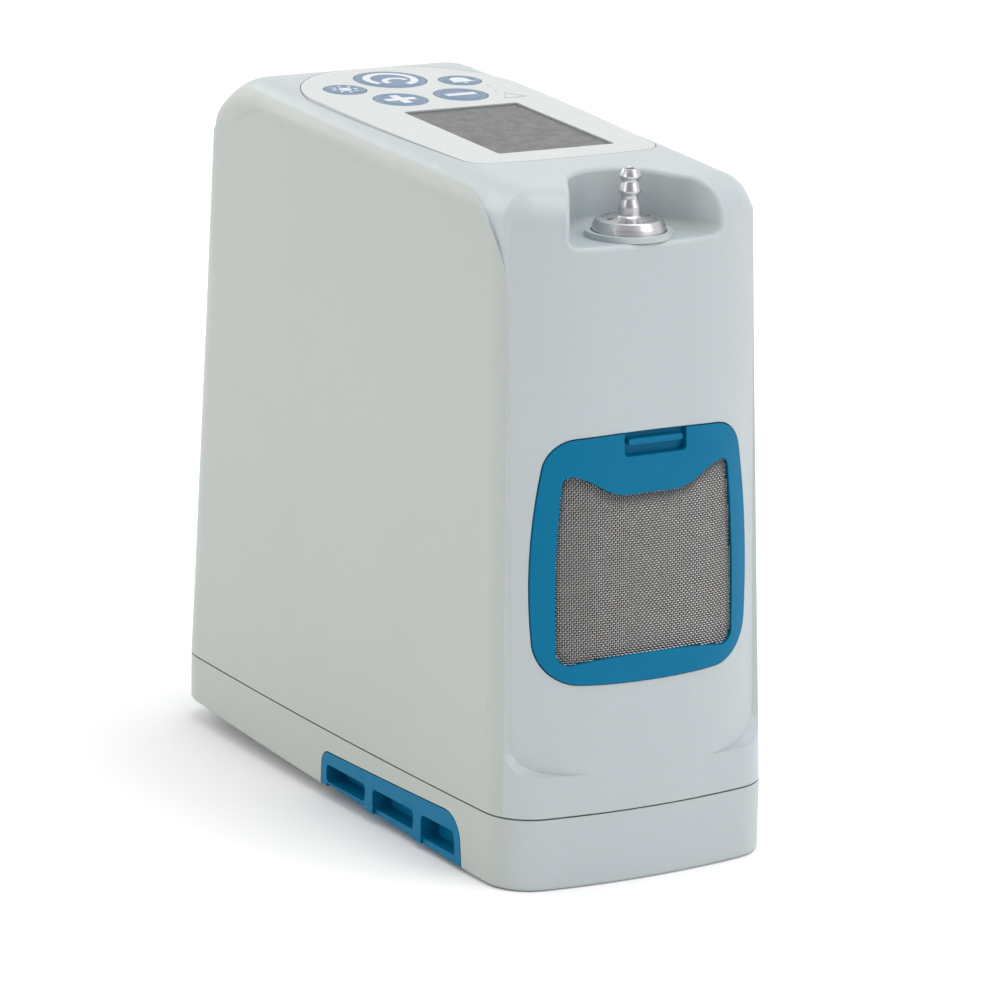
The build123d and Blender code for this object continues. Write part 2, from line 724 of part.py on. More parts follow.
with BuildPart() as solenoid_valves:
    for x in (-25.5, -8.5, 8.5, 25.5):
        with Locations((x, column_y + 4, column_top + 16)):
            Box(14, 20, 12)
        with Locations((x, column_y - 8.5, column_top + 16)):
            Cylinder(4.2, 5, rotation=(90, 0, 0))
save(solenoid_valves, "solenoid_valves")

with BuildPart() as product_tank:
    with Locations((-24, -8, 84)):
        Cylinder(10.6, 100)
    fillet(product_tank.edges(), 5)
    with Locations((-24, -8, 135.5)):
        Cylinder(2.6, 8)
save(product_tank, "product_tank")

# ---- compressor and its motor ----------------------------------------------------------------------
cylinder_radius, bore, pin_throw = 13.0, 9.0, 2.6
with BuildPart() as crankcase:
    with Locations((0, crank_y, crank_z)):
        Box(28, 30, 36)
    fillet(crankcase.edges().filter_by(Axis.Y), 5)
    with Locations((0, crank_y - 1, crank_z)):
        Cylinder(12, 26, rotation=(90, 0, 0), mode=Mode.SUBTRACT)
        Cylinder(bore + 0.3, 40, rotation=(0, 90, 0), mode=Mode.SUBTRACT)
    with Locations((0, crank_y + 12, crank_z)):
        Cylinder(4.05, 12, rotation=(90, 0, 0), mode=Mode.SUBTRACT)
    for x in (-9, 9):
        for y in (crank_y - 10, crank_y + 10):
            with Locations((x, y, crank_z - 21)):
                Cylinder(3, 6)
save(crankcase, "crankcase")

with BuildPart() as crankcase_cover:
    with Locations((0, crank_y - 16, crank_z)):
        Box(28, 2, 36)
    fillet(crankcase_cover.edges().filter_by(Axis.Y), 5)
save(crankcase_cover, "crankcase_cover")

with BuildPart() as compressor_mounts:
    for x in (-9, 9):
        for y in (crank_y - 10, crank_y + 10):
            with Locations((x, y, (plate_top + crank_z - 24) / 2)):
                Cylinder(5.5, crank_z - 24 - plate_top)
    fillet(compressor_mounts.edges(), 1.0)
save(compressor_mounts, "compressor_mounts")

with BuildPart() as compressor_cylinders:
    for side in (-1, 1):
        with Locations((side * 19.5, crank_y, crank_z)):
            Cylinder(cylinder_radius - 1.6, 11, rotation=(0, 90, 0))
            Cylinder(bore, 12, rotation=(0, 90, 0), mode=Mode.SUBTRACT)
        for fin in range(4):
            with Locations((side * (15.4 + 2.7 * fin), crank_y, crank_z)):
                Cylinder(cylinder_radius + 1.0, 0.9, rotation=(0, 90, 0))
                Cylinder(cylinder_radius - 1.7, 2, rotation=(0, 90, 0), mode=Mode.SUBTRACT)
save(compressor_cylinders, "compressor_cylinders")

with BuildPart() as compressor_heads:
    for side in (-1, 1):
        with Locations((side * 28, crank_y, crank_z)):
            Box(6, 30, 30)
    fillet(compressor_heads.edges().filter_by(Axis.X), 4)
save(compressor_heads, "compressor_heads")

with BuildPart() as compressor_pistons:
    for side in (-1, 1):
        with Locations((side * 20.5, crank_y, crank_z)):
            Cylinder(bore - 0.15, 5, rotation=(0, 90, 0))
        with Locations((side * 13.5, crank_y - 1 - side * 3.1, crank_z)):
            Box(9.4, 3.4, 6)
        with Locations((0, crank_y - 1 - side * 3.1, crank_z)):
            Cylinder(10.2, 3.4, rotation=(90, 0, 0))
            Cylinder(7.2, 3.6, rotation=(90, 0, 0), mode=Mode.SUBTRACT)
save(compressor_pistons, "compressor_pistons")

with BuildPart() as crankshaft:
    with Locations((0, crank_y + 10, crank_z)):
        Cylinder(4.0, 36, rotation=(90, 0, 0))
    with Locations((pin_throw, crank_y - 1, crank_z)):
        Cylinder(4.2, 12, rotation=(90, 0, 0))
    with BuildSketch(Plane.XZ.offset(-crank_y - 5.2)):
        with Locations((0, crank_z)):
            Circle(10.5)
            with Locations((8, 0)):
                Rectangle(14, 30, mode=Mode.SUBTRACT)
            Circle(5)
    extrude(amount=-3)
save(crankshaft, "crankshaft")

motor_start = crank_y + 15.5
with BuildPart() as motor_can:
    with Locations((0, motor_start + 15, crank_z)):
        Cylinder(21, 30, rotation=(90, 0, 0))
        Cylinder(19.5, 27, rotation=(90, 0, 0), mode=Mode.SUBTRACT)
        Cylinder(5.0, 40, rotation=(90, 0, 0), mode=Mode.SUBTRACT)
    fillet(motor_can.edges().filter_by(GeomType.CIRCLE).group_by(Axis.Y)[-1], 0.4)
save(motor_can, "motor_can")

with BuildPart() as motor_stator:
    with Locations((0, motor_start + 15, crank_z)):
        Cylinder(19.4, 18, rotation=(90, 0, 0))
        Cylinder(11.5, 20, rotation=(90, 0, 0), mode=Mode.SUBTRACT)
    with BuildSketch(Plane.XZ.offset(-motor_start - 5)) as slots:
        with Locations((0, crank_z)):
            with PolarLocations(14.6, 9):
                Circle(2.2)
    extrude(amount=-20, mode=Mode.SUBTRACT)
save(motor_stator, "motor_stator")

with BuildPart() as motor_rotor:
    with Locations((0, motor_start + 15, crank_z)):
        Cylinder(11.0, 16, rotation=(90, 0, 0))
        Cylinder(4.0, 20, rotation=(90, 0, 0), mode=Mode.SUBTRACT)
save(motor_rotor, "motor_rotor")

# ---- cooling fan and exhaust -------------------------------------------------------------------------
fan_size, fan_hub, fan_tip = 48.0, 11.0, 21.5
with BuildPart() as fan_frame:
    with BuildSketch(Plane.XZ.offset(-fan_y)):
        with Locations((0, fan_centre_z)):
            RectangleRounded(fan_size, fan_size, 5)
            Circle(fan_tip + 0.8, mode=Mode.SUBTRACT)
    extrude(amount=-12)
    with BuildSketch(Plane.XZ.offset(-fan_y - 10.5)):
        with Locations((0, fan_centre_z)):
            Rectangle(fan_size - 2, 3)
            Rectangle(3, fan_size - 2)
            Circle(fan_hub)
    extrude(amount=-1.5)
    with Locations((0, fan_y + 6.5, fan_centre_z)):
        Cylinder(1.5, 9.0, rotation=(90, 0, 0))
save(fan_frame, "fan_frame")

with BuildPart() as fan_rotor:
    with Locations((0, fan_y + 5.2, fan_centre_z)):
        Cylinder(fan_hub, 9, rotation=(90, 0, 0))
        Cylinder(1.55, 12, rotation=(90, 0, 0), mode=Mode.SUBTRACT)
    with BuildSketch(Plane.XZ.offset(-fan_y - 1)):
        with Locations((0, fan_centre_z)):
            with PolarLocations((fan_hub + fan_tip) / 2, 9):
                Rectangle(fan_tip - fan_hub + 1, 1.2)
    extrude(amount=-8)
save(fan_rotor, "fan_rotor")

with BuildPart() as exhaust_grille:
    with BuildSketch(Plane.XZ.offset(-82.8)):
        with Locations((0, 130.5)):
            Rectangle(48, 52)
    extrude(amount=-1.0)
    for level in vent_levels:
        with Locations((0, 83.3, level + 2.5)):
            Box(44, 3, 1.6, mode=Mode.SUBTRACT)
save(exhaust_grille, "exhaust_grille")

# ---- electronics ---------------------------------------------------------------------------------------
board_x = 29.5
with BuildPart() as main_board:
    with Locations((board_x, 32, 122)):
        Box(1.6, 70, 56)
save(main_board, "main_board")

with BuildPart() as board_components:
    for row, z in enumerate((102, 116, 130, 144)):
        for column, y in enumerate((6, 22, 38, 54)):
            size = (3.2, 9 - row, 8 - column)
            with Locations((board_x + 0.8 + size[0] / 2, y, z)):
                Box(*size)
save(board_components, "board_components")

with BuildPart() as alarm_buzzer:
    with Locations((14, 48, 169.6)):
        Cylinder(6, 5)
        Cylinder(1.2, 6, mode=Mode.SUBTRACT)
save(alarm_buzzer, "alarm_buzzer")

with BuildPart() as breath_sensor:
    with Locations((0, -69.0, 124)):
        Box(14, 8, 9)
    with Locations((0, -69.0, 130)):
        Cylinder(2.0, 8)
save(breath_sensor, "breath_sensor")

with BuildPart() as power_jack:
    with Locations(Plane((jack_x, 84.2, jack_z), z_dir=(0, 1, 0))):
        Cylinder(5.0, 17)
        with Locations((0, 0, 2)):
            Cylinder(3.2, 15, mode=Mode.SUBTRACT)
        with Locations((0, 0, 0)):
            Cylinder(0.9, 15)
save(power_jack, "power_jack")

with BuildPart() as wiring_plug:
    with Locations((board_x - 3.4, 20, 104)):
        Box(5, 18, 7)
save(wiring_plug, "wiring_plug")
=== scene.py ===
import json
from math import cos, hypot, pi, radians, sin, sqrt

import bmesh
import bpy
from mathutils import Matrix, Vector
from mathutils.bvhtree import BVHTree


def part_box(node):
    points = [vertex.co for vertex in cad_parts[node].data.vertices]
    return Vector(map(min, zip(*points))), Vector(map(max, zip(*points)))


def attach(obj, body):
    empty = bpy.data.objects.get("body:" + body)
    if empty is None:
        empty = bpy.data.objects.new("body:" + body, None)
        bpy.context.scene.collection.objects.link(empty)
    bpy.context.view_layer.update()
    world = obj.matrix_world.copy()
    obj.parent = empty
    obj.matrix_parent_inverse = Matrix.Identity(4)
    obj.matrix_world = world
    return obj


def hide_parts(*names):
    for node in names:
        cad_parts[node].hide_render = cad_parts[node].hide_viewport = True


# Portable oxygen concentrator: materials, small details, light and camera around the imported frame.
# Metres, in the frame's own axes: -Y is the intake end, -X the latch side, +Z up.

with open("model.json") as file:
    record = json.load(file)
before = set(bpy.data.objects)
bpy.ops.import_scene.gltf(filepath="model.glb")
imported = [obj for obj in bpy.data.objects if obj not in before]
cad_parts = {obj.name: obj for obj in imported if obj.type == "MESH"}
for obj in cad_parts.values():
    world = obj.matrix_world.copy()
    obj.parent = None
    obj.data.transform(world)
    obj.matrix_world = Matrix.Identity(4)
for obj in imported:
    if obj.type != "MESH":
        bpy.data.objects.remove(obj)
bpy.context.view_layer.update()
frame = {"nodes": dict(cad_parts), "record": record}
nodes = frame["nodes"]
MM = 0.001

# ---- materials -----------------------------------------------------------------------------------
UNEVEN_GLOSS = 0.05                 # how far a surface's roughness wanders either way
# the top face: its level at the middle of the unit in millimetres, and its rise towards the back
TOP_LEVEL, TOP_SLOPE = 183.2, 0.053


class Tree:
    """A material's node tree, with short calls for the nodes that the materials share."""

    def __init__(self, name):
        self.material = bpy.data.materials.new(name)
        self.material.use_nodes = True
        self.tree = self.material.node_tree
        self.bsdf = self.tree.nodes["Principled BSDF"]
        self.place = self.tree.nodes.new("ShaderNodeTexCoord").outputs["Object"]

    def node(self, kind, settings=None, **inputs):
        """Add a node, set its properties, and set or link its inputs by name or index."""
        made = self.tree.nodes.new("ShaderNode" + kind)
        for key, value in (settings or {}).items():
            setattr(made, key, value)
        for key, value in inputs.items():
            socket = made.inputs[int(key[1:])] if key[1:].isdigit() else made.inputs[key.replace("_", " ")]
            self.put(socket, value)
        return made

    def put(self, socket, value):
        """Link a socket, or set it to a constant."""
        if isinstance(value, bpy.types.NodeSocket):
            self.tree.links.new(value, socket)
        else:
            socket.default_value = value

    def math(self, operation, a, b=0.0):
        """One arithmetic step on two values."""
        return self.node("Math", {"operation": operation}, i0=a, i1=b).outputs[0]

    def noise(self, size_mm, detail=3.0):
        """Noise whose features are about this many millimetres across."""
        return self.node("TexNoise", Vector=self.place, Scale=1000.0 / size_mm,
                         Detail=detail, Roughness=0.55).outputs["Fac"]

    def spread(self, value, low, high, start=0.35, end=0.65):
        """Map a 0 to 1 pattern onto a range."""
        return self.node("MapRange", Value=value, From_Min=start, From_Max=end,
                         To_Min=low, To_Max=high).outputs[0]

    def mix(self, factor, a, b, blend="MIX"):
        """Mix two colours."""
        made = self.node("Mix", {"data_type": "RGBA", "blend_type": blend}, i0=factor)
        self.put(made.inputs[6], a)
        self.put(made.inputs[7], b)
        return made.outputs[2]

    def axes(self):
        """The object's own x, y and z, in metres."""
        return self.node("SeparateXYZ", Vector=self.place).outputs

    def bump(self, height, depth_mm):
        """Bump of this depth on the shader's normal."""
        made = self.node("Bump", Height=height, Distance=depth_mm * MM, Strength=1.0)
        self.put(self.bsdf.inputs["Normal"], made.outputs[0])


def shade(colour, factor):
    """A colour made lighter or darker, with full alpha."""
    return tuple(min(1.0, c * factor) for c in colour[:3]) + (1.0,)


def plain(name, colour, rough, metallic=0.0, spread=0.06, blotch=14.0, grain=0.35, depth=0.01,
          coat=0.0, specular=0.5, specks=0.12):
    """Base material: slow tone changes, a fine grain in the bump and an uneven gloss."""
    made = Tree(name)
    tone = made.mix(made.noise(blotch), shade(colour, 1 - spread), shade(colour, 1 + spread))
    fleck = made.spread(made.noise(grain * 2.2, 2.0), 0.0, specks)
    made.put(made.bsdf.inputs["Base Color"], made.mix(fleck, tone, shade(colour, 0.72)))
    made.put(made.bsdf.inputs["Roughness"],
             made.spread(made.noise(blotch * 0.4), rough - UNEVEN_GLOSS, rough + UNEVEN_GLOSS))
    made.put(made.bsdf.inputs["Metallic"], metallic)
    made.put(made.bsdf.inputs["Coat Weight"], coat)
    made.put(made.bsdf.inputs["Specular IOR Level"], specular)
    made.bump(made.noise(grain, 2.0), depth)
    return made


def casing_material(name, two_tone):
    """Moulded casing: a mask between the side slabs' matte colour and the ends' satin one."""
    made = Tree(name)
    slab, wrap = (0.415, 0.446, 0.420, 1.0), (0.440, 0.488, 0.505, 1.0)
    side = two_tone(made)
    tone = made.mix(side, wrap, slab)
    slow = made.spread(made.noise(60.0, 1.0), 0.992, 1.008)
    drift = made.node("CombineColor", Red=slow, Green=slow, Blue=slow).outputs[0]
    tone = made.mix(1.0, tone, drift, "MULTIPLY")
    fleck = made.spread(made.noise(0.7, 2.0), 0.0, 0.10)
    made.put(made.bsdf.inputs["Base Color"], made.mix(fleck, tone, shade(slab, 0.80)))
    uneven = made.spread(made.noise(9.0), -0.03, 0.03)
    wrap_rough, slab_rough = 0.34, 0.43
    gloss = made.math("ADD", made.spread(side, wrap_rough, slab_rough, 0.0, 1.0), uneven)
    made.put(made.bsdf.inputs["Roughness"], gloss)
    made.bump(made.noise(0.30, 2.0), 0.006)
    return made


def housing_sides(made):
    """1 on the housing's side slabs, whose upper corners are rounded, and 0 on the wrap between them."""
    x, y, z = made.axes()
    slab_front, front_lean, slab_top = 0.0873, 0.047, 0.1802
    behind = made.math("SUBTRACT", made.math("ADD", y, slab_front), made.math("MULTIPLY", z, front_lean))
    below = made.math("SUBTRACT", made.math("ADD", made.math("MULTIPLY", y, TOP_SLOPE), slab_top), z)
    corner_mm, soft_mm = 24.0, 0.3
    short = [made.math("MAXIMUM", made.math("SUBTRACT", corner_mm * MM, gap), 0.0)
             for gap in (behind, below)]
    corner = made.math("SQRT", made.math("ADD", *[made.math("MULTIPLY", gap, gap) for gap in short]))
    inside = made.spread(corner, 1.0, 0.0, (corner_mm - soft_mm) * MM, (corner_mm + soft_mm) * MM)
    wrap_half, slab_half = 0.0330, 0.0337
    return made.math("MULTIPLY", inside,
                     made.spread(made.math("ABSOLUTE", x), 0.0, 1.0, wrap_half, slab_half))


def battery_sides(made):
    """1 along the battery's long sides, fading to 0 at its ends."""
    y = made.axes()[1]
    sides_end, ends_start = 0.0852, 0.0905
    return made.spread(made.math("ABSOLUTE", y), 1.0, 0.0, sides_end, ends_start)


def screen_material():
    """Tinted window: a dark face with some haze, a printed border and fine dust."""
    made = Tree("screen_tint")
    x, y, _ = made.axes()
    centre_x, centre_y = 1.4, -14.8
    half_across, half_along, soft = 15.8, 23.4, 0.2
    across = made.math("ABSOLUTE", made.math("SUBTRACT", x, centre_x * MM))
    along = made.math("ABSOLUTE", made.math("ADD", y, -centre_y * MM))
    edge = made.math("MAXIMUM", made.spread(across, 0.0, 1.0, half_across * MM, (half_across + soft) * MM),
                     made.spread(along, 0.0, 1.0, half_along * MM, (half_along + soft) * MM))
    haze = made.mix(made.noise(6.0), (0.040, 0.036, 0.038, 1), (0.062, 0.057, 0.058, 1))
    dust = made.node("TexVoronoi", Vector=made.place, Scale=900.0).outputs["Distance"]
    haze = made.mix(made.spread(dust, 0.55, 0.0, 0.06, 0.20), haze, (0.30, 0.29, 0.29, 1))
    made.put(made.bsdf.inputs["Base Color"], made.mix(edge, haze, (0.035, 0.042, 0.055, 1)))
    made.put(made.bsdf.inputs["Roughness"], made.spread(made.noise(3.0), 0.22, 0.34))
    made.bump(made.noise(1.2, 2.0), 0.002)
    return made


def woven_material():
    """Backing behind the wire cloth: a dark fine weave."""
    made = Tree("weave_backing")
    x, _, z = made.axes()
    pitch = 0.5 * MM
    warp = made.math("SINE", made.math("MULTIPLY", x, 2 * pi / pitch))
    weft = made.math("SINE", made.math("MULTIPLY", z, 2 * pi / pitch))
    both = made.math("MULTIPLY", warp, weft)
    dark, light = (0.035, 0.033, 0.032, 1), (0.14, 0.135, 0.13, 1)
    made.put(made.bsdf.inputs["Base Color"], made.mix(made.spread(both, 0.0, 1.0, -1.0, 1.0), dark, light))
    made.put(made.bsdf.inputs["Roughness"], made.spread(made.noise(4.0), 0.5, 0.62))
    made.put(made.bsdf.inputs["Metallic"], 0.7)
    made.bump(both, 0.08)
    return made


def striped(name, colour, rough, metallic, pitch_mm, axis, depth_mm):
    """Wound, turned or ribbed surface: fine lines across one axis."""
    made = plain(name, colour, rough, metallic, spread=0.08)
    line = made.math("SINE", made.math("MULTIPLY", made.axes()[axis], 2 * pi / (pitch_mm * MM)))
    made.bump(line, depth_mm)
    return made


def cellular(name, colour, rough, size_mm, depth_mm):
    """Open foam or packed beads: round cells, painted lighter at their middles and darker towards their
    rims, with painted shade in the gaps between them.
    """
    made = Tree(name)
    cell = made.node("TexVoronoi", Vector=made.place, Scale=1000.0 / size_mm).outputs["Distance"]
    # painted shade: each cell's colour darkens from its middle out to its rim, so the gaps between cells are
    # painted dark
    made.put(made.bsdf.inputs["Base Color"], made.mix(cell, shade(colour, 1.25), shade(colour, 0.45)))
    made.put(made.bsdf.inputs["Roughness"],
             made.spread(made.noise(2.0), rough - UNEVEN_GLOSS, rough + UNEVEN_GLOSS))
    made.bump(cell, -depth_mm)
    return made


def board_material():
    """Circuit board: green mask with lighter copper runs in a square pattern."""
    made = plain("board_green", (0.02, 0.16, 0.07), 0.35, coat=0.3)
    runs = made.node("TexBrick", {"offset": 0.37}, Vector=made.place, Scale=260.0, Mortar_Size=0.03,
                     Color1=(0.02, 0.15, 0.07, 1), Color2=(0.025, 0.19, 0.085, 1),
                     Mortar=(0.10, 0.34, 0.15, 1))
    made.put(made.bsdf.inputs["Base Color"], runs.outputs["Color"])
    made.bump(runs.outputs["Fac"], 0.03)
    return made


blue = (0.0, 0.146, 0.284)
materials = {
    "housing": casing_material("casing_satin", housing_sides),
    "label": plain("label_film", (0.520, 0.552, 0.545), 0.30, spread=0.01, blotch=22, depth=0.002,
                   specks=0.02),
    "key": plain("key_blue_grey", (0.135, 0.205, 0.315), 0.42, spread=0.05, depth=0.006),
    "accent_blue": plain("accent_satin_blue", blue, 0.38, spread=0.06, blotch=9, grain=0.28, depth=0.007,
                         specular=0.12),
    "screen": screen_material(),
    "mesh": woven_material(),
    "nozzle": striped("turned_metal", (0.58, 0.58, 0.60), 0.30, 1.0, 0.22, 2, 0.0025),
    "foam": cellular("filter_foam", (0.05, 0.05, 0.055), 0.9, 1.1, 0.5),
    "chassis": plain("chassis_dark", (0.045, 0.048, 0.055), 0.5, spread=0.12, depth=0.015),
    "cast_metal": plain("cast_aluminium", (0.50, 0.51, 0.52), 0.45, 1.0, spread=0.12, grain=0.6,
                        depth=0.05),
    "steel": striped("plain_steel", (0.42, 0.42, 0.43), 0.32, 1.0, 0.35, 2, 0.003),
    "winding": striped("copper_winding", (0.55, 0.22, 0.09), 0.32, 1.0, 0.45, 1, 0.12),
    "rubber": plain("foot_rubber", (0.022, 0.022, 0.024), 0.72, spread=0.25, grain=0.5, depth=0.03),
    "board": board_material(),
    "component": plain("black_moulding", (0.020, 0.020, 0.023), 0.46, spread=0.2, depth=0.012),
    "contact": plain("plated_contact", (0.72, 0.50, 0.18), 0.25, 1.0, spread=0.08, depth=0.004),
    "media": cellular("sieve_beads", (0.58, 0.52, 0.40), 0.8, 1.0, 0.4),
    "cell": plain("foil_pouch", (0.55, 0.56, 0.60), 0.30, 1.0, spread=0.10, blotch=6, grain=1.6, depth=0.06),
    "gauge": plain("smoked_window", (0.018, 0.020, 0.024), 0.18, spread=0.2, depth=0.002, coat=0.4),
    "icon": plain("icon_white", (0.62, 0.65, 0.67), 0.40, spread=0.03, depth=0.003),
    "print": plain("print_grey", (0.30, 0.33, 0.34), 0.45, spread=0.06, depth=0.003),
    "wire": plain("woven_steel_wire", (0.43, 0.42, 0.41), 0.32, 1.0, spread=0.16, blotch=2.5, depth=0.01),
    "engraved": plain("engraved_metal", (0.17, 0.17, 0.175), 0.5, 1.0, spread=0.12, depth=0.006),
    "lamp": plain("small_lamp", (0.46, 0.50, 0.48), 0.30, spread=0.05, depth=0.002),
}
battery_casing = casing_material("battery_casing_satin", battery_sides)


def finish_with(obj, slot):
    """Put a slot's material on an object, whatever slots it came with."""
    material = battery_casing.material if obj.name == "battery_case" else materials[slot].material
    if not obj.material_slots:
        obj.data.materials.append(material)
    for place in obj.material_slots:
        place.material = material


for part in frame["record"]["subparts"]:
    finish_with(nodes[part["node"]], part["material_slot"])

# ---- small details --------------------------------------------------------------------------------
lean = sqrt(1 + TOP_SLOPE**2)
SHARP_ABOVE = radians(26)           # edges of smooth pieces that turn more than this stay crisp


def on_top(x, y, height):
    """A point over the sloping top face, from its own millimetre coordinates."""
    return Vector((x, y / lean - height * TOP_SLOPE / lean,
                   TOP_LEVEL + y * TOP_SLOPE / lean + height / lean)) * MM


def piece(name, mesh, finish, body, smooth=False):
    """Make an object of a finished bmesh, with the material of its slot and its body."""
    bmesh.ops.recalc_face_normals(mesh, faces=mesh.faces)
    data = bpy.data.meshes.new(name)
    mesh.to_mesh(data)
    mesh.free()
    obj = bpy.data.objects.new(name, data)
    bpy.context.scene.collection.objects.link(obj)
    if smooth:
        data.shade_smooth()
        data.set_sharp_from_angle(angle=SHARP_ABOVE)
    finish_with(obj, finish)
    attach(obj, body)
    return obj


def slab(mesh, outline, low, high, spot=on_top, bevel=0.025):
    """A thin closed prism over an outline, its upper edge broken by a small bevel."""
    centre = sum((Vector(p) for p in outline), Vector((0, 0))) / len(outline)
    inner = [Vector(p) + (centre - Vector(p)).normalized() * bevel for p in outline]
    rings = [[mesh.verts.new(spot(*p, h)) for p in points]
             for points, h in ((outline, low), (outline, high - bevel), (inner, high))]
    count = len(outline)
    for lower, upper in zip(rings, rings[1:]):
        for i in range(count):
            mesh.faces.new((lower[i], lower[(i + 1) % count], upper[(i + 1) % count], upper[i]))
    mesh.faces.new(rings[0][::-1])
    mesh.faces.new(rings[2])


def ribbon(mesh, path, width, low, high, closed=False, spot=on_top):
    """A thin closed strip of one width along a path, such as the stroke of a printed sign."""
    points = [Vector(p) for p in path]
    count = len(points)
    rows = []
    for i, point in enumerate(points):
        before = points[(i - 1) % count] if closed or i else point
        after = points[(i + 1) % count] if closed or i < count - 1 else point
        along = (after - before).normalized()
        out = Vector((-along.y, along.x)) * width / 2
        rows.append([mesh.verts.new(spot(*(point + out * side), h))
                     for side, h in ((-1, low), (1, low), (1, high), (-1, high))])
    for i in range(count if closed else count - 1):
        a, b = rows[i], rows[(i + 1) % count]
        for k in range(4):
            mesh.faces.new((a[k], a[(k + 1) % 4], b[(k + 1) % 4], b[k]))
    if not closed:
        mesh.faces.new(rows[0][::-1])
        mesh.faces.new(rows[-1])


def arc(centre, radius, start, end, steps=40):
    """Points of an arc, angles in degrees."""
    return [(centre[0] + radius * cos(radians(start + (end - start) * i / steps)),
             centre[1] + radius * sin(radians(start + (end - start) * i / steps)))
            for i in range(steps + 1)]


# each key's centre and radius, in the top face's own millimetres
KEYS = {
    "key_power": (0.0, 45.8, 9.9),
    "key_plus": (-9.3, 23.5, 7.3),
    "key_minus": (9.3, 23.5, 7.3),
    "key_alert": (17.8, 38.8, 5.8),
    "key_light": (-17.8, 38.8, 5.8),
}
KEY_TOP = 0.1                       # the caps stand this far over the top face
SIGN_FOOT, SIGN_TOP = KEY_TOP - 0.03, 0.17
BAR_HALF, BAR_REACH = 1.25, 4.6     # half the width and half the length of the plus and minus bars
RIDGE_INSET, RIDGE_WIDTH, RIDGE_TOP = 1.7, 0.3, KEY_TOP + 0.04
FULL_TURN = {"start": 0, "end": 345, "steps": 23}


def power_sign(mesh, x, y):
    """An open ring with a hook in it."""
    ribbon(mesh, arc((x, y), 6.6, -75, 215), 2.1, SIGN_FOOT, SIGN_TOP)
    ribbon(mesh, arc((x + 0.6, y - 3.0), 3.5, 200, 20, 24), 1.7, SIGN_FOOT, SIGN_TOP)


def plus_sign(mesh, x, y):
    """Two crossed bars in one outline."""
    a, b = BAR_HALF, BAR_REACH
    corners = [(-a, -b), (a, -b), (a, -a), (b, -a), (b, a), (a, a), (a, b), (-a, b), (-a, a), (-b, a),
               (-b, -a), (-a, -a)]
    slab(mesh, [(x + u, y + v) for u, v in corners], SIGN_FOOT, SIGN_TOP)


def minus_sign(mesh, x, y):
    """One bar."""
    a, b = BAR_HALF, BAR_REACH
    corners = [(-b, -a), (b, -a), (b, a), (-b, a)]
    slab(mesh, [(x + u, y + v) for u, v in corners], SIGN_FOOT, SIGN_TOP)


def bell_sign(mesh, x, y):
    """A dome over a flared rim, with a clapper under it."""
    right_rim = [(x + 3.5, y - 2.3), (x + 2.8, y - 1.2)]
    left_rim = [(x - 2.8, y - 1.2), (x - 3.5, y - 2.3)]
    slab(mesh, right_rim + arc((x, y + 0.4), 2.7, 0, 180, 24) + left_rim, SIGN_FOOT, SIGN_TOP)
    slab(mesh, arc((x, y - 3.1), 0.8, 180, 360, 12), SIGN_FOOT, SIGN_TOP)


def sun_sign(mesh, x, y):
    """A disc with eight rays."""
    slab(mesh, arc((x, y), 1.7, **FULL_TURN), SIGN_FOOT, SIGN_TOP)
    ray_start, ray_end = 2.5, 3.9
    for turn in range(0, 360, 45):
        c, s = cos(radians(turn)), sin(radians(turn))
        ribbon(mesh, [(x + ray_start * c, y + ray_start * s), (x + ray_end * c, y + ray_end * s)], 0.8,
               SIGN_FOOT, SIGN_TOP)


SIGNS = {"key_power": power_sign, "key_plus": plus_sign, "key_minus": minus_sign, "key_alert": bell_sign,
         "key_light": sun_sign}

for key_name, (key_x, key_y, key_radius) in KEYS.items():
    sign = bmesh.new()
    SIGNS[key_name](sign, key_x, key_y)
    piece(key_name + "_sign", sign, "icon", key_name + "_cap")
    # a fine raised ring inside the cap's edge
    ring = bmesh.new()
    ribbon(ring, arc((key_x, key_y), key_radius - RIDGE_INSET, 0, 354, 59), RIDGE_WIDTH, SIGN_FOOT,
           RIDGE_TOP, closed=True)
    piece(key_name + "_ridge", ring, "key", key_name + "_cap")

marks = bmesh.new()
ribbon(marks, [(18.6, 16.0), (25.2, 16.0), (21.9, 21.6)], 0.42, 0.0, 0.05, closed=True)
piece("signal_outline", marks, "print", "housing")
lamps = bmesh.new()
for lamp_x, lamp_y, lamp_radius in ((22.1, 30.6, 0.55), (20.5, 24.0, 0.5)):
    slab(lamps, arc((lamp_x, lamp_y), lamp_radius, **FULL_TURN), 0.0, 0.08)
piece("signal_lamps", lamps, "lamp", "housing")

# ---- woven wire cloth in the intake -------------------------------------------------------------------
# millimetres: wire spacing and radius, how far a wire waves, how far the cloth stands off the CAD's mesh
PITCH, WIRE_RADIUS, WAVE, STAND_OFF = 0.60, 0.145, 0.13, 0.34
STRAY = 0.08                        # a point this far out of line with its neighbours is put level
NUDGES = (0.003, -0.004, 0.007)     # a ray may pass between two facets, so three close ones are sent
cloth_node = nodes["intake_mesh"]
cloth = BVHTree.FromPolygons([v.co for v in cloth_node.data.vertices],
                             [p.vertices[:] for p in cloth_node.data.polygons])
cloth_low, cloth_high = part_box("intake_mesh")
columns = range(int(cloth_low[0] / MM / PITCH) - 1, int(cloth_high[0] / MM / PITCH) + 2)
rows = range(int(cloth_low[2] / MM / PITCH) - 1, int(cloth_high[2] / MM / PITCH) + 2)


def cloth_point(x, z):
    """A point standing off the cloth's surface at a place in the window, or None outside it."""
    hits = []
    for nudge in NUDGES:
        start = Vector((x + nudge, cloth_low[1] / MM - 5, z + nudge * 0.6)) * MM
        hit = cloth.ray_cast(start, Vector((0, 1, 0)))[0]
        if hit is not None:
            hits.append(hit)
    return min(hits, key=lambda p: p.y) - Vector((0, STAND_OFF, 0)) * MM if hits else None


